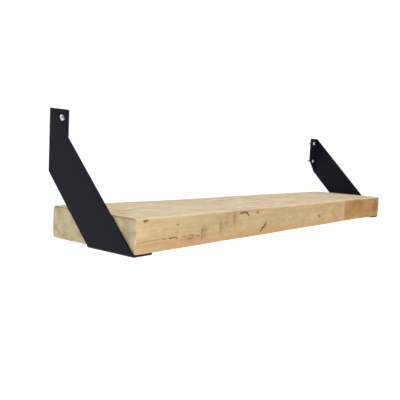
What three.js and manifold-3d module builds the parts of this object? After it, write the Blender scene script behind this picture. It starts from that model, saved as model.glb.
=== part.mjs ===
// Wall shelf: a softwood plank held at its two ends by folded sheet-steel brackets.
// Millimetres. X runs along the shelf, Y points into the wall, Z is up.
// The origin is on the wall plane, at mid-length, level with the plank's top face.
import * as THREE from "three";
import { mergeVertices } from "three/addons/utils/BufferGeometryUtils.js";
import Module from "manifold-3d";

const wasm = await Module();
wasm.setup();

// ---- Driving dimensions ----

const fitGap = 0.3; // clearance left between two pieces that touch

const plank = {
  length: 900,
  depth: 184,
  thickness: 50,
  edgeRadius: 3, // rounding along the four long edges
  endRadius: 2, // rounding round the two end faces
  wallGap: 12, // the plank's back edge stands this far off the wall
};

const sheet = {
  thickness: 3,
  bendRadius: 1, // inside radius of both folds
  bendSteps: 6,
  cornerRadius: 3, // laser-cut outside corners
  cornerSteps: 4,
};

const bracket = {
  rise: 150, // top of the flange above the plank's top face
  flangeWidth: 36, // across the flange, from the bracket's outer face
  lipWidth: 40, // across the lip, from the bracket's outer face
  lipSetback: 2, // the lip's front edge behind the plank's front face
};

const wallHoles = {
  topMargin: 14, // upper hole below the flange's top edge
  spacing: 50,
  inset: 21, // hole centres from the bracket's outer face
  edgeMargin: 9, // lower hole above the flange's slanted lower edge
  clearance: 0.5, // round the screw's shank
};

const lipHoles = {
  endMargin: 18, // hole centres from the lip's front and rear edges
  inset: 20, // hole centres from the bracket's outer face
  clearance: 0.4, // round the screw's shank
};

const wallScrew = {
  diameter: 5,
  length: 20, // under the head
  pointLength: 5,
  headDiameter: 10,
  headHeight: 3.4,
  rimHeight: 1, // the head's upright edge
  recess: { span: 5.4, width: 1.2, depth: 2 },
};

const lipScrew = {
  diameter: 4,
  length: 25,
  pointLength: 5,
  headDiameter: 8,
  headHeight: 2.8,
  rimHeight: 0.8, // the head's upright edge
  recess: { span: 4.4, width: 1, depth: 1.6 },
};

const roundSteps = 24; // facets round a screw
const domeSteps = 4; // facets from a head's rim to its top
const holeSteps = 24; // facets round a hole

// Each cross recess stops where the screw happened to bite.
const wallDriveAngles = { left: [0.35, 1.1], right: [0.8, 0.15] };
const lipDriveAngles = { left: [0.6, 1.3], right: [0.2, 0.95] };

// ---- Places worked out from them ----

const outerRadius = sheet.bendRadius + sheet.thickness;
const neutralRadius = sheet.bendRadius + sheet.thickness / 2;
const quarterBend = (neutralRadius * Math.PI) / 2; // length of flat blank in one fold

const plateOuterX = plank.length / 2 + fitGap + sheet.thickness;
const flangeTop = bracket.rise;
const lipUnderside = -plank.thickness - fitGap - sheet.thickness;
const bracketDepth = plank.wallGap + plank.depth - bracket.lipSetback;
const bandSlope = (flangeTop - lipUnderside) / bracketDepth; // rise per run of both slanted edges

const upperHoleZ = flangeTop - wallHoles.topMargin;
const lowerHoleZ = upperHoleZ - wallHoles.spacing;
const foldBottom = lowerHoleZ - wallHoles.edgeMargin - bandSlope * wallHoles.inset;

const lipRear = (foldBottom - lipUnderside) / bandSlope; // distance of the lip's rear edge from the wall
const lipHoleDistances = [bracketDepth - lipHoles.endMargin, lipRear + lipHoles.endMargin];

// ---- Materials ----

const pine = new THREE.MeshStandardMaterial({ name: "pine", color: 0xd8bd8c, roughness: 0.8, metalness: 0 });
const powderCoat = new THREE.MeshStandardMaterial({
  name: "powder_coat",
  color: 0x1b1b1f,
  roughness: 0.6,
  metalness: 0.1,
});
const zinc = new THREE.MeshStandardMaterial({ name: "zinc", color: 0xd4d7da, roughness: 0.3, metalness: 1 });

// ---- Solids for cutting ----

function toSolid(geometry) {
  const bare = geometry.clone();
  bare.deleteAttribute("normal");
  bare.deleteAttribute("uv");
  const merged = mergeVertices(bare, 1e-4);
  const mesh = new wasm.Mesh({
    numProp: 3,
    vertProperties: merged.attributes.position.array,
    triVerts: new Uint32Array(merged.index.array),
  });
  return new wasm.Manifold(mesh);
}

function toGeometry(solid) {
  const { vertProperties, triVerts } = solid.getMesh();
  const geometry = new THREE.BufferGeometry();
  geometry.setAttribute("position", new THREE.BufferAttribute(vertProperties, 3));
  geometry.setIndex(new THREE.BufferAttribute(triVerts, 1));
  const faceted = geometry.toNonIndexed();
  faceted.computeVertexNormals();
  return faceted;
}

function cut(geometry, cutters) {
  const solid = cutters.reduce((left, cutter) => left.subtract(toSolid(cutter)), toSolid(geometry));
  return toGeometry(solid);
}

// ---- Plank ----

// A rectangle with rounded corners, centred on the origin.
function roundedRectangle(width, height, radius) {
  const x = width / 2;
  const y = height / 2;
  const shape = new THREE.Shape();
  shape.moveTo(-x + radius, -y);
  shape.lineTo(x - radius, -y);
  shape.absarc(x - radius, -y + radius, radius, -Math.PI / 2, 0);
  shape.lineTo(x, y - radius);
  shape.absarc(x - radius, y - radius, radius, 0, Math.PI / 2);
  shape.lineTo(-x + radius, y);
  shape.absarc(-x + radius, y - radius, radius, Math.PI / 2, Math.PI);
  shape.lineTo(-x, -y + radius);
  shape.absarc(-x + radius, -y + radius, radius, Math.PI, 1.5 * Math.PI);
  return shape;
}

// Blind pilot holes rise into the plank's underside above the lip's holes.
function pilotHoles() {
  const depth = lipScrew.length - sheet.thickness + fitGap;
  const radius = lipScrew.diameter / 2 + fitGap;
  const holes = [];
  for (const side of [-1, 1]) {
    for (const distance of lipHoleDistances) {
      const overlap = 1; // the cutter starts this far below the underside
      const hole = new THREE.CylinderGeometry(radius, radius, depth + overlap, holeSteps);
      hole.rotateX(Math.PI / 2);
      const x = side * (plateOuterX - lipHoles.inset);
      hole.translate(x, -distance, -plank.thickness + (depth - overlap) / 2);
      holes.push(hole);
    }
  }
  return holes;
}

function makePlank() {
  const section = roundedRectangle(plank.depth, plank.thickness, plank.edgeRadius);
  const body = new THREE.ExtrudeGeometry(section, {
    depth: plank.length - 2 * plank.endRadius,
    curveSegments: 3,
    bevelThickness: plank.endRadius,
    bevelSize: plank.endRadius,
    bevelOffset: -plank.endRadius,
    bevelSegments: 2,
  });
  // The section was drawn in XY and drawn out along Z: turn its width to Y, its height to Z, its length to X.
  body.translate(0, 0, -plank.length / 2 + plank.endRadius);
  body.rotateZ(Math.PI / 2);
  body.rotateY(Math.PI / 2);
  body.translate(0, -plank.wallGap - plank.depth / 2, -plank.thickness / 2);
  const mesh = new THREE.Mesh(cut(body, pilotHoles()), pine);
  mesh.name = "shelf_plank";
  return mesh;
}

// ---- Brackets ----

// Replaces a corner of an outline by an arc.
function roundCorner(before, corner, after, radius) {
  const [a, b, c] = [before, corner, after].map((point) => new THREE.Vector2(...point));
  const toA = a.sub(b).normalize();
  const toC = c.sub(b).normalize();
  const halfAngle = toA.angleTo(toC) / 2;
  const centre = toA
    .clone()
    .add(toC)
    .setLength(radius / Math.sin(halfAngle))
    .add(b);
  const start = toA.multiplyScalar(radius / Math.tan(halfAngle)).add(b);
  const end = toC.multiplyScalar(radius / Math.tan(halfAngle)).add(b);
  const from = start.sub(centre).angle();
  const to = end.sub(centre).angle();
  // the short way round
  const turn = THREE.MathUtils.euclideanModulo(to - from + Math.PI, 2 * Math.PI) - Math.PI;
  return Array.from({ length: sheet.cornerSteps + 1 }, (_, i) => {
    const angle = from + (turn * i) / sheet.cornerSteps;
    return [centre.x + radius * Math.cos(angle), centre.y + radius * Math.sin(angle)];
  });
}

// A hole's outline, clockwise on the blank.
function holeOutline(u, v, radius) {
  return Array.from({ length: holeSteps }, (_, i) => {
    const angle = (-2 * Math.PI * i) / holeSteps;
    return [u + radius * Math.cos(angle), v + radius * Math.sin(angle)];
  });
}

// The folded place of a point of the flat blank. u runs away from the wall, v is height, and depth is
// measured into the sheet from its outer face. The blank's plate stays flat. The flange is past the wall
// fold and the lip past the lower fold, and both turn inwards, towards the middle of the shelf.
function foldedPoint(u, v, depth) {
  const intoFlange = Math.max(outerRadius - u, 0);
  const intoLip = Math.max(lipUnderside + outerRadius - v, 0);
  const past = Math.max(intoFlange, intoLip);
  const angle = Math.min(past / neutralRadius, Math.PI / 2);
  const straight = Math.max(past - quarterBend, 0);
  const radius = outerRadius - depth;
  const x = plateOuterX - outerRadius + radius * Math.cos(angle) - straight;
  const swing = radius * Math.sin(angle);
  if (intoFlange > 0) return [x, swing - outerRadius, v];
  if (intoLip > 0) return [x, -u, lipUnderside + outerRadius - swing];
  return [x, -u, v];
}

// Closes the outer face, the inner face and the cut edges of a blank that is given as flat panels.
// Panels share whole edges. A panel is { outline, holes }: outlines counter-clockwise, holes clockwise.
function foldPanels(panels) {
  const positions = [];
  const openEdges = new Map();
  const key = (point) => point.map((value) => value.toFixed(4)).join();
  for (const { outline, holes = [] } of panels) {
    const rings = [outline, ...holes];
    const flat = rings.flat();
    const outer = flat.map(([u, v]) => foldedPoint(u, v, 0));
    const inner = flat.map(([u, v]) => foldedPoint(u, v, sheet.thickness));
    const [contour, ...openings] = rings.map((ring) => ring.map((point) => new THREE.Vector2(...point)));
    for (const [a, b, c] of THREE.ShapeUtils.triangulateShape(contour, openings)) {
      positions.push(...outer[a], ...outer[c], ...outer[b]);
      positions.push(...inner[a], ...inner[b], ...inner[c]);
    }
    let first = 0;
    for (const ring of rings) {
      ring.forEach((_, i) => {
        const a = first + i;
        const b = first + ((i + 1) % ring.length);
        const backwards = key(flat[b]) + "/" + key(flat[a]);
        if (openEdges.has(backwards)) openEdges.delete(backwards);
        else openEdges.set(key(flat[a]) + "/" + key(flat[b]), [outer[a], outer[b], inner[a], inner[b]]);
      });
      first += ring.length;
    }
  }
  for (const [outerA, outerB, innerA, innerB] of openEdges.values()) {
    positions.push(...outerA, ...outerB, ...innerB);
    positions.push(...outerA, ...innerB, ...innerA);
  }
  const geometry = new THREE.BufferGeometry();
  geometry.setAttribute("position", new THREE.Float32BufferAttribute(positions, 3));
  geometry.computeVertexNormals();
  return geometry;
}

// Height of the band's lower slanted edge on the blank, which runs straight on across the flange.
function lowerEdge(u) {
  return foldBottom - bandSlope * u;
}

function bracketPanels() {
  const foldU = outerRadius; // the wall fold starts here
  const foldV = lipUnderside + outerRadius; // the lower fold starts here
  const flangeU = foldU - quarterBend;
  const lipV = foldV - quarterBend;
  const flangeEnd = flangeU - (bracket.flangeWidth - outerRadius);
  const lipEnd = lipV - (bracket.lipWidth - outerRadius);
  const rearU = (foldBottom - foldV) / bandSlope;
  const frontV = foldV;
  const frontU = bracketDepth;

  const plate = {
    outline: [
      [foldU, lowerEdge(foldU)],
      [rearU, foldV],
      [frontU, frontV],
      [foldU, flangeTop],
    ],
  };

  const folds = Array.from({ length: sheet.bendSteps }, (_, i) => {
    const near = (quarterBend * i) / sheet.bendSteps;
    const far = (quarterBend * (i + 1)) / sheet.bendSteps;
    const wallStrip = [
      [foldU - far, lowerEdge(foldU - far)],
      [foldU - near, lowerEdge(foldU - near)],
      [foldU - near, flangeTop],
      [foldU - far, flangeTop],
    ];
    const lipStrip = [
      [rearU, foldV - far],
      [frontU, foldV - far],
      [frontU, foldV - near],
      [rearU, foldV - near],
    ];
    return [{ outline: wallStrip }, { outline: lipStrip }];
  });

  // Hole centres are given from the outer face, one outer radius before the flange and the lip run flat.
  const wallHoleU = flangeU - (wallHoles.inset - outerRadius);
  const lipHoleV = lipV - (lipHoles.inset - outerRadius);
  const wallHoleRadius = wallScrew.diameter / 2 + wallHoles.clearance;
  const lipHoleRadius = lipScrew.diameter / 2 + lipHoles.clearance;

  const flangeTopCorner = [flangeEnd, flangeTop];
  const flangeLowCorner = [flangeEnd, lowerEdge(flangeEnd)];
  const flangeFoldTop = [flangeU, flangeTop];
  const flangeFoldLow = [flangeU, lowerEdge(flangeU)];
  const flange = {
    outline: [
      flangeFoldLow,
      flangeFoldTop,
      ...roundCorner(flangeFoldTop, flangeTopCorner, flangeLowCorner, sheet.cornerRadius),
      ...roundCorner(flangeTopCorner, flangeLowCorner, flangeFoldLow, sheet.cornerRadius),
    ],
    holes: [upperHoleZ, lowerHoleZ].map((z) => holeOutline(wallHoleU, z, wallHoleRadius)),
  };

  const lipRearFold = [rearU, lipV];
  const lipFrontFold = [frontU, lipV];
  const lipRearCorner = [rearU, lipEnd];
  const lipFrontCorner = [frontU, lipEnd];
  const lip = {
    outline: [
      lipFrontFold,
      lipRearFold,
      ...roundCorner(lipRearFold, lipRearCorner, lipFrontCorner, sheet.cornerRadius),
      ...roundCorner(lipRearCorner, lipFrontCorner, lipFrontFold, sheet.cornerRadius),
    ],
    holes: lipHoleDistances.map((distance) => holeOutline(distance, lipHoleV, lipHoleRadius)),
  };

  return [plate, flange, lip, ...folds.flat()];
}

// side is 1 at the right end of the shelf and -1 at the left, where the bracket is the mirror image.
function makeBracket(name, side) {
  const mesh = new THREE.Mesh(foldPanels(bracketPanels()), powderCoat);
  mesh.name = name;
  mesh.scale.x = side;
  return mesh;
}

// ---- Screws ----

// A pan-head screw along Z: its head is above the origin, and the head's bearing face is at the origin.
function panHeadScrew(size, driveAngle) {
  const shank = size.diameter / 2;
  const head = size.headDiameter / 2;
  const domeHeight = size.headHeight - size.rimHeight;
  const dome = new THREE.EllipseCurve(0, size.rimHeight, head, domeHeight, 0, Math.PI / 2);
  const profile = [
    new THREE.Vector2(0, -size.length),
    new THREE.Vector2(shank, -size.length + size.pointLength),
    new THREE.Vector2(shank, 0),
    new THREE.Vector2(head, 0),
    ...dome.getPoints(domeSteps),
  ];
  profile[profile.length - 1].x = 0;
  const body = new THREE.LatheGeometry(profile, roundSteps);
  body.rotateX(Math.PI / 2);

  const { span, width, depth } = size.recess;
  const arms = [0, Math.PI / 2].map((turn) => {
    const overlap = 1; // the cutter stands this far above the head
    const arm = new THREE.BoxGeometry(span, width, depth + overlap);
    arm.rotateZ(turn + driveAngle);
    arm.translate(0, 0, size.headHeight + (overlap - depth) / 2);
    return arm;
  });
  return cut(body, arms);
}

function makeWallScrew(name, side, z, driveAngle) {
  const mesh = new THREE.Mesh(panHeadScrew(wallScrew, driveAngle), zinc);
  mesh.name = name;
  mesh.rotation.x = Math.PI / 2; // the head faces the room
  mesh.position.set(side * (plateOuterX - wallHoles.inset), -sheet.thickness - fitGap, z);
  return mesh;
}

function makeLipScrew(name, side, distance, driveAngle) {
  const mesh = new THREE.Mesh(panHeadScrew(lipScrew, driveAngle), zinc);
  mesh.name = name;
  mesh.rotation.x = Math.PI; // the head faces down
  mesh.position.set(side * (plateOuterX - lipHoles.inset), -distance, lipUnderside - fitGap);
  return mesh;
}

// ---- Assembly ----

function makeEnd(name, side) {
  const end = new THREE.Group();
  end.name = name + "_end";
  end.add(makeBracket(name + "_bracket", side));
  [upperHoleZ, lowerHoleZ].forEach((z, i) => {
    const place = ["upper", "lower"][i];
    end.add(makeWallScrew(`${name}_wall_screw_${place}`, side, z, wallDriveAngles[name][i]));
  });
  lipHoleDistances.forEach((distance, i) => {
    const place = ["front", "rear"][i];
    end.add(makeLipScrew(`${name}_shelf_screw_${place}`, side, distance, lipDriveAngles[name][i]));
  });
  return end;
}

const shelf = new THREE.Group();
shelf.name = "wall_shelf";
shelf.add(makePlank());
shelf.add(makeEnd("left", -1));
shelf.add(makeEnd("right", 1));

export default shelf;
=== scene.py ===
import math

import bmesh
import bpy
import numpy as np
from mathutils import Matrix, Vector, noise


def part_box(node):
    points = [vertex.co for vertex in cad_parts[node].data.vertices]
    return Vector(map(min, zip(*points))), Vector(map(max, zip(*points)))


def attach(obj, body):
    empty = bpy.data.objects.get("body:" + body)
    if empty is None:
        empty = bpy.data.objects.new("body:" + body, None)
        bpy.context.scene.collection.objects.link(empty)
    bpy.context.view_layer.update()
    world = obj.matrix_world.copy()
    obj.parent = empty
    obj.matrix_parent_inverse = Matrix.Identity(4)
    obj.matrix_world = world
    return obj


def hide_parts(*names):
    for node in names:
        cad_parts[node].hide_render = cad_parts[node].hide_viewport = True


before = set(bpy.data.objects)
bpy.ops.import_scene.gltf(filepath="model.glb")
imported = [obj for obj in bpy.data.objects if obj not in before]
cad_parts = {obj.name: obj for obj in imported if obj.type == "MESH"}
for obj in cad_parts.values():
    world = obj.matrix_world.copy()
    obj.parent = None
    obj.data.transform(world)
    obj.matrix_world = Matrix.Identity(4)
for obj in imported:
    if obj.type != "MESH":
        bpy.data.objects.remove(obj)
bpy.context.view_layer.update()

mm = 0.001
scene = bpy.context.scene


# camera first: it stands left of the shelf, a little above the plank
camera = {
    "place": (-0.9367, -0.6915, 0.089),
    "heading": 51.38,  # degrees from straight at the wall, towards the right
    "pitch": -4.95,
    "roll": 2.8,
    "lens": 46.94,
}


def makeCamera():
    data = bpy.data.cameras.new("shelfCamera")
    data.lens = camera["lens"]
    data.sensor_width = 36
    data.clip_start = 0.01
    data.clip_end = 100
    data.dof.use_dof = False
    eye = bpy.data.objects.new("shelfCamera", data)
    scene.collection.objects.link(eye)
    turn = Matrix.Rotation(-math.radians(camera["heading"]), 4, "Z")
    tilt = Matrix.Rotation(math.radians(90 + camera["pitch"]), 4, "X")
    roll = Matrix.Rotation(math.radians(camera["roll"]), 4, "Z")
    eye.matrix_world = Matrix.Translation(camera["place"]) @ turn @ tilt @ roll
    scene.camera = eye


makeCamera()
print("camera in place")


def tone(red, green, blue):
    # 0-255 screen colour to the linear colour that shaders take
    def linear(value):
        value /= 255
        return value / 12.92 if value <= 0.04045 else ((value + 0.055) / 1.055) ** 2.4
    return (linear(red), linear(green), linear(blue), 1)


def meshObject(name, verts, faces, smooth=True):
    mesh = bpy.data.meshes.new(name)
    mesh.from_pydata([tuple(v) for v in verts], [], [tuple(f) for f in faces])
    mesh.validate()
    mesh.polygons.foreach_set("use_smooth", [smooth] * len(mesh.polygons))
    piece = bpy.data.objects.new(name, mesh)
    scene.collection.objects.link(piece)
    return piece


def finishPiece(piece, node, material):
    # hands a piece to the frame in place of its CAD node
    piece.data.materials.clear()
    piece.data.materials.append(material)
    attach(piece, "root")
    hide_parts(node)


class Nodes:
    # a short way to write a node tree: every call returns the new node's output
    def __init__(self, name):
        self.material = bpy.data.materials.new(name)
        self.material.use_nodes = True
        self.tree = self.material.node_tree
        self.shader = self.tree.nodes["Principled BSDF"]

    def add(self, kind, inputs=(), output=0, **settings):
        node = self.tree.nodes.new(kind)
        for key, value in settings.items():
            setattr(node, key, value)
        for key, value in dict(inputs).items():
            self.put(node.inputs[key], value)
        return node.outputs[output]

    def put(self, socket, value):
        if isinstance(value, bpy.types.NodeSocket):
            self.tree.links.new(value, socket)
        elif value is not None:
            socket.default_value = value

    def math(self, operation, a, b=None, c=None):
        return self.add("ShaderNodeMath", {0: a, 1: b, 2: c}, operation=operation)

    def vector(self, operation, a, b=None, scale=None, output=0):
        inputs = {0: a, 1: b}
        if scale is not None:
            inputs["Scale"] = scale
        return self.add("ShaderNodeVectorMath", inputs, output, operation=operation)

    def ramp(self, value, low, high, toLow=0.0, toHigh=1.0):
        # smooth step from low to high
        return self.add(
            "ShaderNodeMapRange",
            {"Value": value, "From Min": low, "From Max": high, "To Min": toLow, "To Max": toHigh},
            interpolation_type="SMOOTHSTEP",
        )

    def noise(self, vector, scale=1.0, detail=2.0, roughness=0.5):
        inputs = {"Vector": vector, "Scale": scale, "Detail": detail, "Roughness": roughness}
        return self.add("ShaderNodeTexNoise", inputs)

    def mix(self, factor, a, b, blend="MIX"):
        node = self.tree.nodes.new("ShaderNodeMix")
        node.data_type = "RGBA"
        node.blend_type = blend
        for index, value in ((0, factor), (6, a), (7, b)):
            self.put(node.inputs[index], value)
        return node.outputs[2]

    def bump(self, height, distance, strength):
        return self.add("ShaderNodeBump", {"Height": height, "Distance": distance, "Strength": strength})

    def finish(self, **sockets):
        for key, value in sockets.items():
            self.put(self.shader.inputs[key.replace("_", " ")], value)
        return self.material


plankLow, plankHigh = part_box("shelf_plank")
plankFront = plankLow.y / mm  # the plank is worked out in millimetres
plankEnd = plankHigh.x / mm

plank = {
    "gridStep": 6.0,
    "knotStep": 3.0,  # grid step round knots
    "crackStep": 1.0,  # and along cracks, where they aren't long and straight
    "edgeRound": 1.3,
    "endRound": 0.9,  # the saw left the ends crisper
    "edgeWear": 2.0,  # how much more some stretches are rounded
    "fray": 1.3,  # short nicks along the edges
    "cornerWear": 2.6,
    "wane": 2.2,  # extra rounding of the lower front edge, right of the middle
    "waneAt": 230,
    "waneSpread": 90,
    "mostRound": 7.5,
    "knotSink": 0.3,  # depth of the ring round a knot
    "crackSink": 0.5,  # depth of a crack, as a share of its width
    "wander": 0.5,  # sawn faces are never quite flat
    "sag": 1.5,  # the top dips towards its back edge, left of the middle
    "sagAt": -150,
    "sagSpread": 190,
    "heart": (-95.0, -88.0),  # y and z of the tree's heart, which lies below the plank
    "ringWidth": 3.4,
    "seed": 7.0,
}

# each mark has its face, its middle (x with z on the front, x with y on the top) and its half sizes
knots = [
    {"face": "front", "at": (-432, -4.4), "size": (5.4, 2.2), "dark": 0.85},
    {"face": "front", "at": (-365, -14), "size": (3.2, 2.2), "dark": 0.45},
    {"face": "front", "at": (-366, -25), "size": (4.5, 2.0), "dark": 0.3},
    {"face": "front", "at": (-334, -37), "size": (9.0, 2.4), "dark": 0.3},
    {"face": "front", "at": (-150, -8), "size": (4.5, 3.4), "dark": 0.6},
    {"face": "front", "at": (98, -30), "size": (6.0, 4.0), "dark": 0.32},
    {"face": "front", "at": (165, -27), "size": (6.0, 3.0), "dark": 0.2},
    {"face": "top", "at": (-424, -141), "size": (7.0, 4.5), "dark": 0.45},
    {"face": "top", "at": (-95, -70), "size": (11, 7.0), "dark": 0.3},
    {"face": "top", "at": (240, -58), "size": (14, 8.0), "dark": 0.35},
    {"face": "back", "at": (-210, -24), "size": (12, 8.0), "dark": 0.6},
    {"face": "back", "at": (130, -30), "size": (15, 10), "dark": 0.7},
    {"face": "under", "at": (-40, -110), "size": (16, 10), "dark": 0.7},
    {"face": "under", "at": (270, -70), "size": (12, 9.0), "dark": 0.6},
]

# soft brown bruises that lie on the wood and don't turn its grain
stains = [
    {"face": "front", "at": (-334, -37.5), "size": (19, 4.5), "dark": 0.6, "tone": (176, 132, 112)},
    {"face": "front", "at": (-301, -31), "size": (9.0, 9.0), "dark": 0.6},
    {"face": "front", "at": (-259, -25), "size": (4.5, 10), "dark": 0.8},
    {"face": "front", "at": (-243, -16), "size": (6.0, 8.0), "dark": 0.6},
    {"face": "front", "at": (-221, -13), "size": (4.5, 10), "dark": 0.75},
    {"face": "front", "at": (-242, -5), "size": (14, 2.5), "dark": 0.35},
    {"face": "front", "at": (-122, -31), "size": (8.0, 8.0), "dark": 0.4},
    {"face": "front", "at": (297, -13), "size": (42, 11), "dark": 0.5, "tone": (128, 84, 42)},
    {"face": "front", "at": (425, -22), "size": (20, 15), "dark": 0.75, "tone": (126, 82, 42)},
    {"face": "front", "at": (-170, -3), "size": (60, 3.0), "dark": 0.3},
    {"face": "top", "at": (360, -165), "size": (80, 16), "dark": 0.5, "tone": (210, 168, 132)},
    {"face": "top", "at": (-300, -40), "size": (60, 16), "dark": 0.25, "tone": (212, 180, 146)},
    {"face": "back", "at": (-60, -18), "size": (50, 12), "dark": 0.4},
    {"face": "under", "at": (120, -140), "size": (70, 16), "dark": 0.35},
]

# a crack is a chain of points on its face, with its half width at the middle; dark is how strongly the shade
# inside it is painted into the wood's colour
cracks = [
    {"face": "front", "chain": [(-447, -34), (-428, -33), (-403, -32.5)], "width": 0.6, "dark": 0.5},
    {"face": "front", "chain": [(-399, -32.2), (-389, -33.2)], "width": 1.0, "dark": 0.66},
    {"face": "front", "chain": [(-383, -33), (-372, -32.6), (-365, -33.4)], "width": 1.3, "dark": 0.78},
    {"face": "front", "chain": [(-353, -32.6), (-344, -33.2)], "width": 1.0, "dark": 0.58},
    {"face": "front", "chain": [(-338, -31.8), (-327, -32.6)], "width": 1.1, "dark": 0.66},
    {"face": "front", "chain": [(-321, -33.8), (-312, -35.5)], "width": 1.0, "dark": 0.55},
    {
        "face": "front",
        "chain": [(-305, -24), (-308, -31), (-306.5, -36), (-307.5, -42)],
        "width": 1.2, "dark": 0.45,
    },
    {
        "face": "front",
        "chain": [(-203, -7.5), (-195, -5.0), (-187, -5.6), (-181, -8.5), (-177, -12.5)],
        "width": 1.8, "dark": 0.9,
    },
    {
        "face": "front",
        "chain": [(-136, -43), (-132, -38), (-125, -35.5), (-120, -30)],
        "width": 2.1, "dark": 0.95,
    },
    {"face": "front", "chain": [(94, -27.5), (98, -29.5), (102, -32.5)], "width": 1.6, "dark": 0.7},
    {"face": "back", "chain": [(210, -31), (255, -29), (290, -30)], "width": 0.7, "dark": 0.8},
    {"face": "under", "chain": [(-210, -80), (-160, -78), (-120, -79)], "width": 0.7, "dark": 0.8},
]

# which way each face looks, and which two axes a mark on it is placed along
faces = {
    "front": {"axis": 1, "sign": -1, "along": (0, 2), "level": plankLow.y / mm},
    "back": {"axis": 1, "sign": 1, "along": (0, 2), "level": plankHigh.y / mm},
    "top": {"axis": 2, "sign": 1, "along": (0, 1), "level": plankHigh.z / mm},
    "under": {"axis": 2, "sign": -1, "along": (0, 1), "level": plankLow.z / mm},
}


def onFace(mark, point):
    # a mark's flat place as a place in space
    face = faces[mark["face"]]
    spot = Vector((0, 0, 0))
    spot[face["axis"]] = face["level"]
    for axis, value in zip(face["along"], point):
        spot[axis] = value
    return spot


def gridLines(low, high, step, spots):
    # even lines, closer at both ends for the rounding and closer round each mark
    close = [0, 0.3, 0.7, 1.2, 1.8, 2.6, 3.6, 4.8, 6.4, 8.4]
    leastGap = 0.25
    lines = [low + c for c in close] + [high - c for c in close]
    inner = high - low - 2 * close[-1]
    lines += list(np.linspace(low + close[-1], high - close[-1], max(2, round(inner / step))))
    for centre, reach, fine in spots:
        lines += list(np.arange(centre - reach, centre + reach, fine))
    lines = np.array(sorted(x for x in lines if low <= x <= high))
    keep = [lines[0]]
    for x in lines[1:]:
        near = plank["crackStep"] * 0.9 if min(x - low, high - x) > close[-1] else leastGap
        if x - keep[-1] >= near:
            keep.append(x)
    keep[-1] = high
    return np.array(keep)


def boxSurface(xs, ys, zs):
    # points and quads of a box's skin, one grid per side, with shared points at the edges
    sizes = (len(xs), len(ys), len(zs))
    chunks = []
    for axis in range(3):
        u, v = [a for a in range(3) if a != axis]
        a, b = np.meshgrid(np.arange(sizes[u] - 1), np.arange(sizes[v] - 1), indexing="ij")
        for end in (0, sizes[axis] - 1):
            corners = []
            for du, dv in ((0, 0), (1, 0), (1, 1), (0, 1)):
                index = [None] * 3
                index[axis] = np.full(a.shape, end)
                index[u] = a + du
                index[v] = b + dv
                corners.append((index[0] * sizes[1] + index[1]) * sizes[2] + index[2])
            quads = np.stack(corners, -1).reshape(-1, 4)
            flip = (end == 0) != (axis == 1)
            chunks.append(quads[:, ::-1] if flip else quads)
    quads = np.concatenate(chunks)
    used, quads = np.unique(quads, return_inverse=True)
    quads = quads.reshape(-1, 4)
    alongX, alongY, alongZ = used // (sizes[1] * sizes[2]), used // sizes[2] % sizes[1], used % sizes[2]
    return np.stack([xs[alongX], ys[alongY], zs[alongZ]], -1), quads


def smoothNoise(points, stretch, seed):
    # one soft noise value, about -1 to 1, for each point
    scaled = points / np.array(stretch) + seed
    return np.array([noise.noise(Vector(p)) for p in scaled]) * 1.6


def chainDistance(flat, chain):
    # distance of each flat point from a chain of points
    best = np.full(len(flat), 1e9)
    for start, end in zip(chain, chain[1:]):
        start, along = np.array(start, float), np.array(end, float) - np.array(start, float)
        t = np.clip(((flat - start) @ along) / (along @ along), 0, 1)
        best = np.minimum(best, np.linalg.norm(flat - start - t[:, None] * along, axis=1))
    return best


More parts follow.
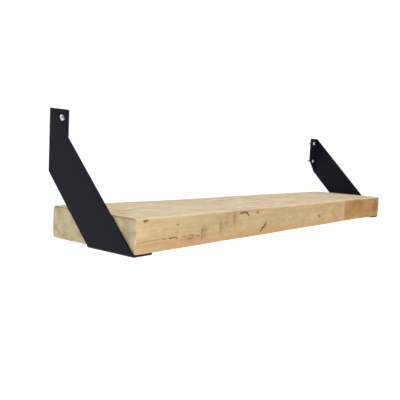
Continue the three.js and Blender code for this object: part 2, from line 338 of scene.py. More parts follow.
def makePlank():
    low, high = np.array(plankLow) / mm, np.array(plankHigh) / mm
    spots = {0: [], 1: [], 2: []}
    for mark in knots:
        for axis, at, size in zip(faces[mark["face"]]["along"], mark["at"], mark["size"]):
            spots[axis].append((at, size, plank["knotStep"]))
    for crack in cracks:
        chain = np.array(crack["chain"])
        for axis, column in zip(faces[crack["face"]]["along"], chain.T):
            reach = np.ptp(column) / 2 + 2
            fine = plank["crackStep"] if reach < 20 else plank["knotStep"]
            spots[axis].append(((column.min() + column.max()) / 2, reach, fine))
    xs = gridLines(low[0], high[0], plank["gridStep"], spots[0])
    ys = gridLines(low[1], high[1], plank["gridStep"], spots[1])
    zs = gridLines(low[2], high[2], plank["gridStep"] / 2, spots[2])
    points, quads = boxSurface(xs, ys, zs)
    middle = (low + high) / 2
    normal = np.sign(points - middle) * (np.abs(points - middle) > (high - low) / 2 - 0.01)
    toSides = np.minimum(points - low, high - points)
    inset = np.where(normal == 0, toSides, 1e3).min(1)  # distance from the nearest edge
    inset[np.abs(normal).sum(1) > 1] = 0

    # round the edges, more where sawing and handling have worn them, and most at the corners
    wear = smoothNoise(points, (60, 90, 40), plank["seed"]).clip(0, 1)
    fray = smoothNoise(points, (7, 30, 30), plank["seed"] + 5).clip(0, 1)
    toCorner = np.linalg.norm(toSides, axis=1)
    onEnd = toSides[:, 0] < 6
    radius = plank["edgeRound"] + plank["edgeWear"] * wear + plank["fray"] * fray
    radius = np.where(onEnd, plank["endRound"] + 0.4 * (radius - plank["edgeRound"]), radius)
    radius += plank["cornerWear"] * np.exp(-toCorner / 9)
    lowerFront = (points[:, 2] < low[2] + 12) * (points[:, 1] < low[1] + 12)
    alongWane = (points[:, 0] - plank["waneAt"]) / plank["waneSpread"]
    radius += plank["wane"] * lowerFront * np.exp(-(alongWane**2))
    radii = radius.clip(0, plank["mostRound"])[:, None]
    core = np.clip(points, low + radii, high - radii)
    out = points - core
    reach = np.linalg.norm(out, axis=1, keepdims=True)
    points = np.where(reach > 1e-9, core + radii * out / np.maximum(reach, 1e-9), points)

    # faces wander a little inwards away from the edges, and sink into knots and cracks
    sink = plank["wander"] * ((smoothNoise(points, (170, 60, 60), plank["seed"] + 11) + 1) / 2).clip(0, 1)
    for name, face in faces.items():
        side = normal[:, face["axis"]] == face["sign"]
        local = points[:, face["along"]]
        for knot in [k for k in knots if k["face"] == name]:
            d = np.linalg.norm((local - knot["at"]) / knot["size"], axis=1)
            sink += side * plank["knotSink"] * knot["dark"] * np.exp(-((d - 0.95) / 0.3) ** 2)
        for crack in [c for c in cracks if c["face"] == name]:
            d = chainDistance(local, crack["chain"]) / crack["width"]
            sink += side * plank["crackSink"] * crack["width"] * np.exp(-((d / 0.8) ** 2))
    points -= normal * (sink * (inset / 6).clip(0, 1))[:, None]

    # the top sags towards the back edge, left of the middle
    backward = ((points[:, 1] - low[1]) / (high[1] - low[1])) ** 1.5
    upward = ((points[:, 2] - low[2]) / (high[2] - low[2])) ** 2
    alongSag = (points[:, 0] - plank["sagAt"]) / plank["sagSpread"]
    points[:, 2] -= plank["sag"] * np.exp(-(alongSag**2)) * backward * upward
    piece = meshObject("plank", points * mm, quads)
    print("plank:", len(points), "points,", len(quads), "faces")
    return piece


wood = {
    "pale": (226, 208, 172),
    "tan": (208, 182, 138),
    "lateWood": (176, 138, 90),
    "ringContrast": 0.25,
    "warmEdge": (196, 152, 102),  # heartwood along the lower front edge
    "topTone": (228, 215, 187),
    "endTone": (212, 196, 160),
    "endLate": (168, 146, 108),
    "knot": (92, 64, 32),
    "knotHeart": (138, 100, 56),
    "bruise": (150, 110, 68),
    # painted shade: the dark that falls inside the cracks
    "crack": (84, 54, 26),
    # laid thinly over the rings, in this order
    "streak": (188, 152, 106),
    "bleached": (240, 226, 194),
    "fibre": (160, 126, 84),
    "rosy": (222, 184, 150),
    "greenish": (204, 194, 146),
    "mottleDark": (170, 142, 100),
    "mottlePale": (240, 224, 190),
    "cloudDark": (182, 154, 110),  # weathering of the top
    "cloudPale": (242, 230, 204),
    "sawMark": (176, 140, 94),
    "wornEdge": (238, 222, 184),
    # on the sawn ends
    "pore": (146, 124, 88),
    "endStain": (160, 138, 100),
    "endPale": (228, 214, 182),
    "endRim": (140, 116, 78),
    # drift of the front face's colour along the plank: x, colour, strength
    "drift": [
        (-450, (222, 190, 141), 0.75),
        (-390, (200, 170, 124), 0.75),
        (-290, (184, 157, 116), 0.7),
        (-100, (170, 143, 102), 0.72),
        (60, (178, 149, 104), 0.7),
        (215, (176, 141, 92), 0.82),
    ],
    "brownFrom": 229,  # the last stretch of the front is brown heartwood
    "brown": (0.75, 0.57, 0.39, 1),
    "sheen": 0.25,
}


def makeWood():
    n = Nodes("softwood")
    place = n.add("ShaderNodeTexCoord", output="Object")
    here = n.vector("SCALE", place, scale=1000)  # millimetres
    x, y, z = [n.add("ShaderNodeSeparateXYZ", {0: here}, output=i) for i in range(3)]

    def stretched(along, across, seed=0.0):
        # coordinates drawn out along the grain
        divide = (along, across, across)
        return n.vector("ADD", n.vector("DIVIDE", here, divide), (seed, seed, seed))

    def layer(under, strength, name):
        return n.mix(strength, under, tone(*wood[name]))

    frontFace = n.ramp(y, plankFront + 2.2, plankFront + 0.6)
    topFace = n.ramp(z, -2.2, -0.5)
    endFace = n.ramp(n.math("ABSOLUTE", x), plankEnd - 1.4, plankEnd - 0.4)

    def fromMark(mark):
        # 0 at a mark's middle and 1 on its ragged rim
        size = Vector((14, 14, 14))
        for axis, value in zip(faces[mark["face"]]["along"], mark["size"]):
            size[axis] = value
        offset = n.vector("SUBTRACT", here, tuple(onFace(mark, mark["at"])))
        local = n.vector("DIVIDE", offset, tuple(size))
        return n.vector("LENGTH", n.vector("ADD", local, ragged), output="Value")

    cloud = n.add("ShaderNodeTexNoise", {"Vector": here, "Scale": 0.22, "Detail": 2.0}, output="Color")
    ragged = n.vector("SCALE", n.vector("SUBTRACT", cloud, (0.5, 0.5, 0.5)), scale=1.1)

    # knots: a dark rim, a lighter heart, and how far the grain swings round them
    knotMask = 0.0
    knotHeart = 0.0
    swing = 0.0
    for knot in knots:
        distance = fromMark(knot)
        knotMask = n.math("MAXIMUM", knotMask, n.ramp(distance, 1.4, 0.6, 0.0, knot["dark"]))
        knotHeart = n.math("MAXIMUM", knotHeart, n.ramp(distance, 0.9, 0.3, 0.0, knot["dark"]))
        swing = n.math("ADD", swing, n.ramp(distance, 3.8, 0.6, 0.0, knot["size"][1] * 0.6))

    # growth rings are shells round the tree's heart, pushed about by slow noise
    heartY, heartZ = plank["heart"]
    aside, above = n.math("SUBTRACT", y, heartY), n.math("SUBTRACT", z, heartZ)
    away = n.add("ShaderNodeCombineXYZ", {1: aside, 2: above})
    shell = n.vector("LENGTH", away, output="Value")
    slow = n.math("MULTIPLY", n.noise(stretched(300, 80, 3.1), detail=1.0), 24)
    quick = n.math("MULTIPLY", n.noise(stretched(70, 9, 8.7), detail=2.0), 5.0)
    shell = n.math("ADD", n.math("ADD", shell, slow), n.math("ADD", quick, swing))
    count = n.math("DIVIDE", shell, plank["ringWidth"])
    uneven = n.noise(n.add("ShaderNodeCombineXYZ", {0: n.math("MULTIPLY", count, 0.37)}), detail=1.0)
    count = n.math("ADD", count, n.math("MULTIPLY", uneven, 3.2))
    ring = n.math("FRACT", count)
    late = n.math("MULTIPLY", n.ramp(ring, 0.3, 0.88), n.ramp(ring, 1.0, 0.93))
    late = n.math("MULTIPLY", late, n.ramp(n.noise(stretched(140, 22, 5.5), detail=2.0), 0.36, 0.66))

    fibre = n.noise(stretched(22, 0.5, 1.3), detail=3.0, roughness=0.6)
    streak = n.noise(stretched(130, 4.0, 2.2), detail=2.5, roughness=0.6)
    blotch = n.noise(stretched(110, 34, 6.4), detail=2.0)
    mottle = n.noise(stretched(16, 7.0, 12.4), detail=3.0, roughness=0.65)
    rosy = n.noise(stretched(75, 26, 21.0), detail=2.0)
    cloudy = n.noise(stretched(48, 15, 31.0), detail=3.0, roughness=0.6)
    saw = n.noise(n.vector("DIVIDE", here, (3.2, 200, 60)), detail=2.0, roughness=0.7)

    base = n.mix(n.ramp(blotch, 0.35, 0.68), tone(*wood["pale"]), tone(*wood["tan"]))

    # the front face drifts from pale honey at the left to darker straw at the right
    meander = n.math("SUBTRACT", n.noise(stretched(40, 12, 9.9)), 0.5)
    wandering = n.math("ADD", x, n.math("MULTIPLY", meander, 60))
    drift = n.add("ShaderNodeValToRGB", {0: n.math("MULTIPLY_ADD", wandering, 0.5 / plankEnd, 0.5)})
    ramp = drift.node.color_ramp
    ramp.interpolation = "EASE"
    for i, (spot, colour, strength) in enumerate(wood["drift"]):
        stop = ramp.elements[i] if i < 2 else ramp.elements.new(0.5)
        stop.position = 0.5 + 0.5 * spot / plankEnd
        stop.color = (*tone(*colour)[:3], strength)
    strength = n.math("MULTIPLY", drift.node.outputs["Alpha"], frontFace)
    base = n.mix(strength, base, drift)
    base = layer(base, n.math("MULTIPLY", topFace, 0.6), "topTone")

    # grain
    base = layer(base, n.math("MULTIPLY", late, wood["ringContrast"]), "lateWood")
    base = layer(base, n.ramp(streak, 0.48, 0.7, 0.0, 0.42), "streak")
    awayFromFront = n.math("MULTIPLY_ADD", frontFace, -0.65, 1.0)
    base = layer(base, n.math("MULTIPLY", n.ramp(streak, 0.46, 0.27, 0.0, 0.45), awayFromFront), "bleached")
    base = layer(base, n.ramp(fibre, 0.35, 0.75, 0.0, 0.22), "fibre")
    base = layer(base, n.ramp(rosy, 0.5, 0.75, 0.0, 0.4), "rosy")
    base = layer(base, n.ramp(rosy, 0.5, 0.25, 0.0, 0.3), "greenish")
    base = layer(base, n.ramp(mottle, 0.45, 0.8, 0.0, 0.3), "mottleDark")
    base = layer(base, n.ramp(mottle, 0.5, 0.2, 0.0, 0.25), "mottlePale")
    base = layer(base, n.math("MULTIPLY", topFace, n.ramp(cloudy, 0.5, 0.75, 0.0, 0.6)), "cloudDark")
    base = layer(base, n.math("MULTIPLY", topFace, n.ramp(cloudy, 0.5, 0.28, 0.0, 0.5)), "cloudPale")
    base = layer(base, n.math("MULTIPLY", n.ramp(saw, 0.5, 0.85, 0.0, 0.28), frontFace), "sawMark")

    # heartwood shows at the right end, and along the lower front edge, higher at the left
    patchy = n.ramp(n.noise(stretched(30, 10, 17.0), detail=2.0), 0.25, 0.6, 0.8, 1.05)
    boundary = n.math("ADD", x, n.math("MULTIPLY", n.noise(stretched(60, 9, 4.4), detail=1.0), 7))
    brown = n.math("MULTIPLY", n.ramp(boundary, wood["brownFrom"], wood["brownFrom"] + 6), patchy)
    base = n.mix(n.math("MULTIPLY", brown, frontFace), base, wood["brown"], blend="MULTIPLY")
    rise = n.math("MULTIPLY", n.math("SUBTRACT", n.noise(stretched(150, 22, 14.0), detail=2.0), 0.5), 22)
    rise = n.math("SUBTRACT", rise, n.ramp(x, -325, -285, 7.0, 0.0))
    strip = n.math("MULTIPLY", n.ramp(n.math("ADD", z, rise), -34, -47), n.ramp(x, -360, -200, 0.45, 0.85))
    strip = n.math("MULTIPLY", strip, n.ramp(x, -60, 90, 1.0, 0.2))
    strip = n.math("MULTIPLY", n.math("MULTIPLY", strip, frontFace), n.ramp(streak, 0.25, 0.55, 0.5, 1.0))
    base = layer(base, strip, "warmEdge")

    # worn edges are cleaner
    worn = n.math("MULTIPLY", n.ramp(y, plankFront + 3.5, plankFront + 0.8), n.ramp(z, -4.0, -0.9))
    base = layer(base, n.math("MULTIPLY", worn, n.ramp(mottle, 0.3, 0.6, 0.15, 0.55)), "wornEdge")

    # knots, bruises, and the shade painted inside the cracks
    patches = n.ramp(mottle, 0.25, 0.7, 0.55, 1.0)
    for stain in stains:
        bruise = n.math("MULTIPLY", n.ramp(fromMark(stain), 1.65, 0.35, 0.0, stain["dark"]), patches)
        base = n.mix(bruise, base, tone(*stain.get("tone", wood["bruise"])))
    base = layer(base, n.math("MULTIPLY", knotMask, n.ramp(mottle, 0.25, 0.6, 1.0, 0.7)), "knot")
    base = layer(base, n.math("MULTIPLY", knotHeart, 0.6), "knotHeart")
    # the shade inside the cracks is painted into the colour, since the mesh's grooves are shallow
    split = 0.0
    for crack in cracks:
        chain = crack["chain"]
        for start, end in zip(chain, chain[1:]):
            split = n.math("MAXIMUM", split, crackShadeMask(n, here, crack, start, end))
    base = layer(base, split, "crack")

    # end grain drinks dirt: greyer, with fine pores
    pores = n.noise(n.vector("DIVIDE", here, (1.0, 0.5, 0.5)), detail=2.0)
    grime = n.noise(n.vector("DIVIDE", here, (20, 16, 16)), detail=3.0)
    endGrain = n.mix(n.math("MULTIPLY", late, 0.4), tone(*wood["endTone"]), tone(*wood["endLate"]))
    endGrain = layer(endGrain, n.ramp(pores, 0.4, 0.75, 0.0, 0.25), "pore")
    endGrain = layer(endGrain, n.ramp(grime, 0.42, 0.7, 0.0, 0.55), "endStain")
    endGrain = layer(endGrain, n.ramp(grime, 0.45, 0.25, 0.0, 0.4), "endPale")
    rim = n.math("MULTIPLY", n.ramp(z, -3.6, -1.6), n.ramp(grime, 0.3, 0.55, 0.2, 0.6))
    endGrain = layer(endGrain, rim, "endRim")
    base = n.mix(n.math("MULTIPLY", endFace, 0.95), base, endGrain)

    rough = n.ramp(n.math("ADD", late, fibre), 0.3, 1.6, 0.88, 0.68)
    relief = n.math("ADD", n.math("MULTIPLY", fibre, 0.6), n.math("MULTIPLY", late, 0.4))
    relief = n.math("ADD", relief, n.math("MULTIPLY", mottle, 0.8))
    relief = n.math("ADD", relief, n.math("MULTIPLY", saw, 0.5))
    normal = n.bump(relief, 0.15 * mm, 0.7)
    n.shader.inputs["Specular IOR Level"].default_value = wood["sheen"]
    return n.finish(Base_Color=base, Roughness=rough, Normal=normal)


def crackShadeMask(n, here, crack, start, end):
    # the painted shade inside one stretch of a crack, ragged and fading out at its half width
    a = onFace(crack, start)
    along = onFace(crack, end) - a
    shallow = Vector((1, 1, 1))
    shallow[faces[crack["face"]]["axis"]] = 0.15  # so that the groove's floor is as dark as its rims
    fromStart = n.vector("MULTIPLY", n.vector("SUBTRACT", here, tuple(a)), tuple(shallow))
    dot = n.vector("DOT_PRODUCT", fromStart, tuple(along / along.length_squared), output="Value")
    t = n.math("MINIMUM", n.math("MAXIMUM", dot, 0.0), 1.0)
    across = n.vector("SUBTRACT", fromStart, n.vector("SCALE", tuple(along), scale=t))
    distance = n.vector("LENGTH", across, output="Value")
    width = crack["width"]
    rag = n.math("MULTIPLY", n.noise(here, scale=0.3, detail=3.0), width * 1.8)
    return n.ramp(n.math("SUBTRACT", distance, rag), width * 0.25, -width * 0.5, 0.0, crack["dark"])


bracket = {
    "sheet": 3.0,
    "insideBend": 1.0,  # inside radius of both folds
    "bendSteps": 14,
    "cornerRound": 3.0,
    "edgeSoft": 0.35,  # the coat rounds every cut edge
    "flangeWidth": 36.0,
    "lipWidth": 40.0,
    "holeClearance": 0.5,
    "lipHoleClearance": 0.4,
    "lowerHoleMargin": 9.0,  # flange left below the middle of the lower wall hole
    "coatDark": (14, 14, 26),  # blue-black powder coat
    "coatLight": (18, 19, 32),
    "grit": (54, 54, 64),
    "sheen": 0.14,
}


def makePowderCoat():
    n = Nodes("powderCoat")
    place = n.add("ShaderNodeTexCoord", output="Object")
    here = n.vector("SCALE", place, scale=1000)
    peel = n.noise(here, scale=0.9, detail=2.5, roughness=0.55)
    grit = n.noise(here, scale=3.5, detail=1.0)
    cloud = n.noise(here, scale=0.02, detail=3.0)
    base = n.mix(n.ramp(cloud, 0.3, 0.7), tone(*bracket["coatDark"]), tone(*bracket["coatLight"]))
    base = n.mix(n.ramp(grit, 0.62, 0.8, 0.0, 0.3), base, tone(*bracket["grit"]))
    rough = n.ramp(n.math("ADD", peel, n.math("MULTIPLY", cloud, 0.5)), 0.4, 1.1, 0.46, 0.6)
    relief = n.math("ADD", peel, n.math("MULTIPLY", grit, 0.35))
    normal = n.bump(relief, 0.05 * mm, 0.6)
    n.shader.inputs["Specular IOR Level"].default_value = bracket["sheen"]
    return n.finish(Base_Color=base, Roughness=rough, Normal=normal)


def roundCorner(before, corner, after, radius, steps=6):
    # an outline's corner as an arc
    b = Vector(corner)
    toA, toC = (Vector(before) - b).normalized(), (Vector(after) - b).normalized()
    half = toA.angle(toC) / 2
    centre = b + (toA + toC).normalized() * radius / math.sin(half)
    start = b + toA * radius / math.tan(half) - centre
    end = b + toC * radius / math.tan(half) - centre
    sweep = start.angle_signed(end)
    return [centre + Matrix.Rotation(-sweep * i / steps, 2) @ start for i in range(steps + 1)]


def circle(u, v, radius, steps=40):
    turns = np.linspace(0, 2 * math.pi, steps, False)
    return [Vector((u + radius * math.cos(a), v + radius * math.sin(a))) for a in turns]


def sheetBlank(name, outline, holes, thickness, soft):
    # a flat blank with softened edges: a filled 2D curve, turned to a mesh
    data = bpy.data.curves.new(name, "CURVE")
    data.dimensions = "2D"
    data.fill_mode = "BOTH"
    data.extrude = thickness / 2 - soft
    data.bevel_depth = soft
    data.bevel_resolution = 2
    data.offset = -soft
    for ring in (outline, *holes):
        spline = data.splines.new("POLY")
        spline.points.add(len(ring) - 1)
        for point, (u, v) in zip(spline.points, ring):
            point.co = (u, v, 0, 1)
        spline.use_cyclic_u = True
    flat = bpy.data.objects.new(name, data)
    scene.collection.objects.link(flat)
    bpy.context.view_layer.update()
    mesh = bpy.data.meshes.new_from_object(flat.evaluated_get(bpy.context.evaluated_depsgraph_get()))
    bpy.data.objects.remove(flat)
    bpy.data.curves.remove(data)
    return mesh


def middleOf(node):
    low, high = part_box(node)
    return (low + high) / 2 / mm


def makeBracket(name, side, material):
    low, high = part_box(name)
    low, high = np.array(low) / mm, np.array(high) / mm
    sheet = bracket["sheet"]
    outerRadius = bracket["insideBend"] + sheet
    neutral = bracket["insideBend"] + sheet / 2
    quarter = neutral * math.pi / 2
    outerX = high[0] if side > 0 else -low[0]
    depth, top, underside = -low[1], high[2], low[2]
    slope = (top - underside) / depth

    # holes go where the screws are
    hand = "right" if side > 0 else "left"
    upper, lower = middleOf(hand + "_wall_screw_upper"), middleOf(hand + "_wall_screw_lower")
    front, rear = middleOf(hand + "_shelf_screw_front"), middleOf(hand + "_shelf_screw_rear")
    holeInset = outerX - abs(lower.x)
    foldBottom = lower.z - bracket["lowerHoleMargin"] - slope * holeInset

    foldU, foldV = outerRadius, underside + outerRadius
    flangeEnd = foldU - quarter - (bracket["flangeWidth"] - outerRadius)
    lipEnd = foldV - quarter - (bracket["lipWidth"] - outerRadius)
    rearU = (foldBottom - foldV) / slope
    holeU = foldU - quarter - (holeInset - outerRadius)
    holeV = foldV - quarter - (outerX - abs(front.x) - outerRadius)

    flangeBottom = foldBottom - slope * flangeEnd
    outline = [(foldU, top), (flangeEnd, top), (flangeEnd, flangeBottom), (rearU, foldV)]
    outline += [(rearU, lipEnd), (depth, lipEnd), (depth, foldV)]
    rounded = []
    for i, corner in enumerate(outline):
        if i in (1, 2, 4, 5):
            rounded += roundCorner(outline[i - 1], corner, outline[i + 1], bracket["cornerRound"])
        else:
            rounded.append(Vector(corner))
    wallHole = wallScrew["crest"] + bracket["holeClearance"]
    lipHole = lipScrew["crest"] + bracket["lipHoleClearance"]
    holes = [circle(holeU, p.z, wallHole) for p in (upper, lower)]
    holes += [circle(-p.y, holeV, lipHole) for p in (front, rear)]
    mesh = sheetBlank(name, rounded, holes, sheet, bracket["edgeSoft"])

    # cut the blank across both folds, then wrap it round them
    bm = bmesh.new()
    bm.from_mesh(mesh)
    bmesh.ops.remove_doubles(bm, verts=bm.verts, dist=1e-4)
    for i in range(bracket["bendSteps"] + 1):
        past = quarter * i / bracket["bendSteps"]
        for spot, across in (((foldU - past, 0, 0), (1, 0, 0)), ((0, foldV - past, 0), (0, 1, 0))):
            everything = bm.verts[:] + bm.edges[:] + bm.faces[:]
            bmesh.ops.bisect_plane(bm, geom=everything, dist=1e-4, plane_co=spot, plane_no=across)
    for vert in bm.verts:
        u, v, w = vert.co
        intoFlange, intoLip = max(foldU - u, 0), max(foldV - v, 0)
        past = max(intoFlange, intoLip)
        angle, straight = min(past / neutral, math.pi / 2), max(past - quarter, 0)
        radius = outerRadius - (sheet / 2 - w)
        x = outerX - outerRadius + radius * math.cos(angle) - straight
        swing = radius * math.sin(angle)
        if intoFlange > 0:
            vert.co = (x, swing - outerRadius, v)
        elif intoLip > 0:
            vert.co = (x, -u, foldV - swing)
        else:
            vert.co = (x, -u, v)
        vert.co.x *= side
        vert.co *= mm
    bmesh.ops.recalc_face_normals(bm, faces=bm.faces)
    for face in bm.faces:
        face.smooth = True
    bm.to_mesh(mesh)
    bm.free()
    mesh.set_sharp_from_angle(angle=math.radians(32))
    piece = bpy.data.objects.new(name.replace("_bracket", "") + "Bracket", mesh)
    scene.collection.objects.link(piece)
    flatten = piece.modifiers.new("evenNormals", "WEIGHTED_NORMAL")  # keeps the softened edges off the flats
    flatten.weight = 100
    flatten.keep_sharp = True
    finishPiece(piece, name, material)
    print(name, "folded from a blank of", len(mesh.polygons), "faces")


# root and crest are the thread's radii, and recess is half the length of the cross
wallScrew = {
    "root": 1.75, "crest": 2.5, "pitch": 2.2, "plain": 3.0, "point": 6.0,
    "headHeight": 3.3, "rim": 0.9, "recess": 2.9, "recessWidth": 1.25, "recessDepth": 2.2,
}
lipScrew = {
    "root": 1.4, "crest": 2.0, "pitch": 1.8, "plain": 3.0, "point": 5.5,
    "headHeight": 2.7, "rim": 0.8, "recess": 2.3, "recessWidth": 1.0, "recessDepth": 1.8,
}
# how far each screw's drive happens to be turned, in degrees
driveTurns = {
    "left_wall_screw_upper": 20, "left_wall_screw_lower": 63,
    "right_wall_screw_upper": 46, "right_wall_screw_lower": 9,
    "left_shelf_screw_front": 34, "left_shelf_screw_rear": 74,
    "right_shelf_screw_front": 11, "right_shelf_screw_rear": 54,
}


zinc = {"bright": (222, 225, 230), "dull": (204, 206, 205), "polish": 0.2, "haze": 0.4}


def makeZinc():
    n = Nodes("brightZinc")
    place = n.add("ShaderNodeTexCoord", output="Object")
    here = n.vector("SCALE", place, scale=1000)
    cloud = n.noise(here, scale=0.35, detail=3.0)
    rub = n.noise(n.vector("MULTIPLY", here, (6.0, 1.2, 6.0)), detail=2.0)
    base = n.mix(n.ramp(cloud, 0.3, 0.7), tone(*zinc["bright"]), tone(*zinc["dull"]))
    rough = n.ramp(n.math("ADD", cloud, rub), 0.6, 1.4, zinc["polish"], zinc["haze"])
    normal = n.bump(rub, 0.03 * mm, 0.35)
    n.shader.inputs["Metallic"].default_value = 1
    return n.finish(Base_Color=base, Roughness=rough, Normal=normal)


def screwBody(size, length, headRadius):
    # head up along z, bearing face at 0; below the plain shank the rows slant by one pitch a turn
    around = 32
    perTurn = 6
    pitch = size["pitch"]
    turns = math.ceil((length - size["plain"]) / pitch) + 1
    verts, faces = [], []

    def ring(radius, height):
        first = len(verts)
        for i in range(around):
            a = 2 * math.pi * i / around
            verts.append((radius * math.cos(a), radius * math.sin(a), height))
        return [first + i for i in range(around)]

    def join(upper, lower):
        for i in range(around):
            j = (i + 1) % around
            faces.append((upper[i], lower[i], lower[j], upper[j]))

    domeHeight = size["headHeight"] - size["rim"]
    bows = np.linspace(0.06, math.pi / 2, 10)
    profile = [(headRadius * math.sin(a), size["rim"] + domeHeight * math.cos(a)) for a in bows]
    chamfer, neck = 0.25, 0.7  # of the bearing face
    profile += [(headRadius, chamfer), (headRadius - chamfer, 0), (size["root"] + neck, 0)]
    profile += [(size["root"] + 0.15, -0.4), (size["root"], -1.0), (size["root"], -size["plain"])]
    verts.append((0, 0, size["headHeight"]))
    rings = [ring(r, h) for r, h in profile]
    for i in range(around):
        faces.append((0, rings[0][i], rings[0][(i + 1) % around]))
    for upper, lower in zip(rings, rings[1:]):
        join(upper, lower)

    tooth = [0.0, 0.0, 0.35, 1.0, 0.35, 0.0]  # height of the thread through one pitch
    columns = []
    for i in range(around + 1):
        a = 2 * math.pi * i / around
        column = []
        for j in range(-perTurn, turns * perTurn + 1):
            height = -size["plain"] - pitch * (j / perTurn + i / around)
            height = min(-size["plain"], max(-length, height))
            taper = min(1, (height + length) / size["point"])
            starts = min(1, (-size["plain"] - height) / pitch)
            thread = (size["crest"] - size["root"]) * tooth[j % perTurn] * starts
            radius = taper ** 0.8 * (size["root"] + thread)
            column.append(len(verts))
            verts.append((radius * math.cos(a), radius * math.sin(a), height))
        columns.append(column)
    for left, right in zip(columns, columns[1:]):
        for j in range(len(left) - 1):
            faces.append((left[j], left[j + 1], right[j + 1], right[j]))
    bm = bmesh.new()
    made = [bm.verts.new(v) for v in verts]
    for face in faces:
        bm.faces.new([made[i] for i in face])
    bmesh.ops.remove_doubles(bm, verts=bm.verts, dist=1e-4)
    bmesh.ops.dissolve_degenerate(bm, edges=bm.edges, dist=1e-5)
    bmesh.ops.recalc_face_normals(bm, faces=bm.faces)
    return bm


def recessCutter(size):
    # a tapered cross with a narrower foot
    half, wide, deep = size["recess"], size["recessWidth"] / 2, size["recessDepth"]
    head, clear = size["headHeight"], 0.6  # the cutter stands clear of the head
    sections = [(head - deep, half * 0.35, wide * 0.6), (head, half, wide)]
    sections.append((head + clear, half * 1.1, wide * 1.1))
    bm = bmesh.new()
    levels = []
    for height, reach, width in sections:
        cross = [(reach, -width), (reach, width), (width, width)]
        cross += [(width, reach), (-width, reach), (-width, width)]
        cross += [(-x, -y) for x, y in cross]
        levels.append([bm.verts.new((x, y, height)) for x, y in cross])
    for lower, upper in zip(levels, levels[1:]):
        for i in range(len(lower)):
            j = (i + 1) % len(lower)
            bm.faces.new((lower[i], lower[j], upper[j], upper[i]))
    bm.faces.new(levels[0][::-1])
    bm.faces.new(levels[-1])
    bmesh.ops.recalc_face_normals(bm, faces=bm.faces)
    return bm


def bareObject(name, bm):
    mesh = bpy.data.meshes.new(name)
    bm.to_mesh(mesh)
    bm.free()
    piece = bpy.data.objects.new(name, mesh)
    scene.collection.objects.link(piece)
    return piece


def makeScrewMesh(name, size, length, headRadius):
    body = bareObject(name, screwBody(size, length, headRadius))
    cutter = bareObject(name + "Cutter", recessCutter(size))
    cut = body.modifiers.new("recess", "BOOLEAN")
    cut.operation = "DIFFERENCE"
    cut.solver = "EXACT"
    cut.object = cutter
    bpy.context.view_layer.update()
    mesh = bpy.data.meshes.new_from_object(body.evaluated_get(bpy.context.evaluated_depsgraph_get()))
    mesh.name = name
    for spare in (body, cutter):
        bpy.data.objects.remove(spare)
    mesh.polygons.foreach_set("use_smooth", [True] * len(mesh.polygons))
    mesh.set_sharp_from_angle(angle=math.radians(38))
    return mesh


def makeScrews(material):
    for kind, size, headAxis in (("wall_screw", wallScrew, 1), ("shelf_screw", lipScrew, 2)):
        nodes = sorted(n for n in driveTurns if kind in n)
        low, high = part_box(nodes[0])
        span = (high - low)[headAxis] / mm
        length = span - size["headHeight"] - 0.01  # a hair inside the CAD screw
        headRadius = (high - low).x / 2 / mm
        mesh = makeScrewMesh(kind, size, length, headRadius)
        print(kind, "mesh:", len(mesh.polygons), "faces, length", round(length, 2))
        for node in nodes:
            low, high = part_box(node)
            middle = (low + high) / 2
            if headAxis == 1:  # head towards the room, against the flange
                spot = Vector((middle.x, low.y + size["headHeight"] * mm, middle.z))
                turn = Matrix.Rotation(math.radians(90), 4, "X")
            else:  # head down, against the lip
                spot = Vector((middle.x, middle.y, low.z + size["headHeight"] * mm))
                turn = Matrix.Rotation(math.radians(180), 4, "X")
            drive = Matrix.Rotation(math.radians(driveTurns[node]), 4, "Z")
            own = mesh.copy()
            own.transform(Matrix.Translation(spot) @ turn @ drive @ Matrix.Scale(mm, 4))
            words = node.split("_")
            piece = bpy.data.objects.new(words[0] + "".join(w.capitalize() for w in words[1:]), own)
            scene.collection.objects.link(piece)
            finishPiece(piece, node, material)
        bpy.data.meshes.remove(mesh)


studio = {
    "floorHeight": -1.2,
    "floorSize": 60.0,
    "floorGlow": 0.7,  # the floor is a light table
    "backdrop": 1.05,  # what the camera sees behind the shelf
    # strength of the soft light: from all round, from the wall's side and from above
    "room": 0.07,
    "wallSide": 0.5,
    "above": 0.36,
    # name: place, what it points at, size and watts
    "lamps": {
        "softboxLeft": ((-1.5, -1.9, 1.0), (-0.1, -0.1, 0), (1.3, 1.3), 13.5),
        "softboxAbove": ((-0.2, -0.5, 1.7), (0, -0.1, 0), (1.6, 1.0), 16.5),
        "cardRight": ((0.86, -1.75, 0.16), (-0.43, 0, 0.12), (0.9, 0.9), 6.5),
    },
}


def makeFloor():
    half = studio["floorSize"] / 2
    lines = 9
    steps = np.linspace(-half, half, lines)
    points = [(a, b, studio["floorHeight"]) for a in steps for b in steps]
    starts = [i * lines + j for i in range(lines - 1) for j in range(lines - 1)]
    quads = [(k, k + lines, k + lines + 1, k + 1) for k in starts]
    floor = meshObject("floor", points, quads, smooth=False)
    n = Nodes("paleFloor")
    place = n.add("ShaderNodeTexCoord", output="Object")
    cloud = n.noise(place, scale=2.0, detail=2.0)
    pale = n.mix(cloud, (0.93, 0.93, 0.93, 1), (0.96, 0.96, 0.96, 1))
    n.shader.inputs["Emission Color"].default_value = (1, 1, 1, 1)
    n.shader.inputs["Emission Strength"].default_value = studio["floorGlow"]
    floor.data.materials.append(n.finish(Base_Color=pale, Roughness=0.9))


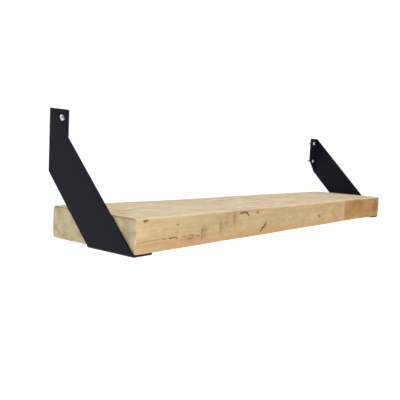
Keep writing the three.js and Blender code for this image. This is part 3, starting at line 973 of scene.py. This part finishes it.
def makeLamp(name, place, target, size, watts):
    data = bpy.data.lights.new(name, "AREA")
    data.shape = "RECTANGLE"
    data.size, data.size_y = size
    data.energy = watts
    lamp = bpy.data.objects.new(name, data)
    lamp.location = place
    lamp.rotation_euler = (Vector(target) - Vector(place)).to_track_quat("-Z", "Y").to_euler()
    lamp.visible_camera = False
    scene.collection.objects.link(lamp)


def makeWorld():
    # plain white behind the shelf, and soft light that is brightest from the wall's side and from above
    world = bpy.data.worlds.new("studio")
    world.use_nodes = True
    scene.world = world
    tree = world.node_tree
    tree.nodes.clear()

    def add(kind, *inputs, **settings):
        node = tree.nodes.new(kind)
        for key, value in settings.items():
            setattr(node, key, value)
        for socket, value in zip(node.inputs, inputs):
            if isinstance(value, bpy.types.NodeSocket):
                tree.links.new(value, socket)
            elif value is not None:
                socket.default_value = value
        return node

    axes = add("ShaderNodeSeparateXYZ", add("ShaderNodeTexCoord").outputs["Generated"])
    soft = {"interpolation_type": "SMOOTHSTEP"}
    toWall = add("ShaderNodeMapRange", axes.outputs[1], -0.1, 1.0, 0.0, studio["wallSide"], **soft)
    toSky = add("ShaderNodeMapRange", axes.outputs[2], -0.1, 1.0, 0.0, studio["above"], **soft)
    total = add("ShaderNodeMath", toWall.outputs[0], toSky.outputs[0], operation="ADD")
    total = add("ShaderNodeMath", total.outputs[0], studio["room"], operation="ADD")
    lit = add("ShaderNodeBackground", (1, 1, 1, 1), total.outputs[0])
    seen = add("ShaderNodeBackground", (1, 1, 1, 1), studio["backdrop"])
    path = add("ShaderNodeLightPath")
    mix = add("ShaderNodeMixShader", path.outputs["Is Camera Ray"], lit.outputs[0], seen.outputs[0])
    add("ShaderNodeOutputWorld", mix.outputs[0])


def makeStudio():
    makeFloor()
    makeWorld()
    for name, settings in studio["lamps"].items():
        makeLamp(name, *settings)
    scene.view_settings.view_transform = "Standard"
    scene.view_settings.look = "None"


woodFinish = makeWood()
plankPiece = makePlank()
finishPiece(plankPiece, "shelf_plank", woodFinish)
print("plank done")

coat = makePowderCoat()
makeBracket("left_bracket", -1, coat)
makeBracket("right_bracket", 1, coat)
print("brackets done")

makeScrews(makeZinc())
print("screws done")

makeStudio()
print("studio done")
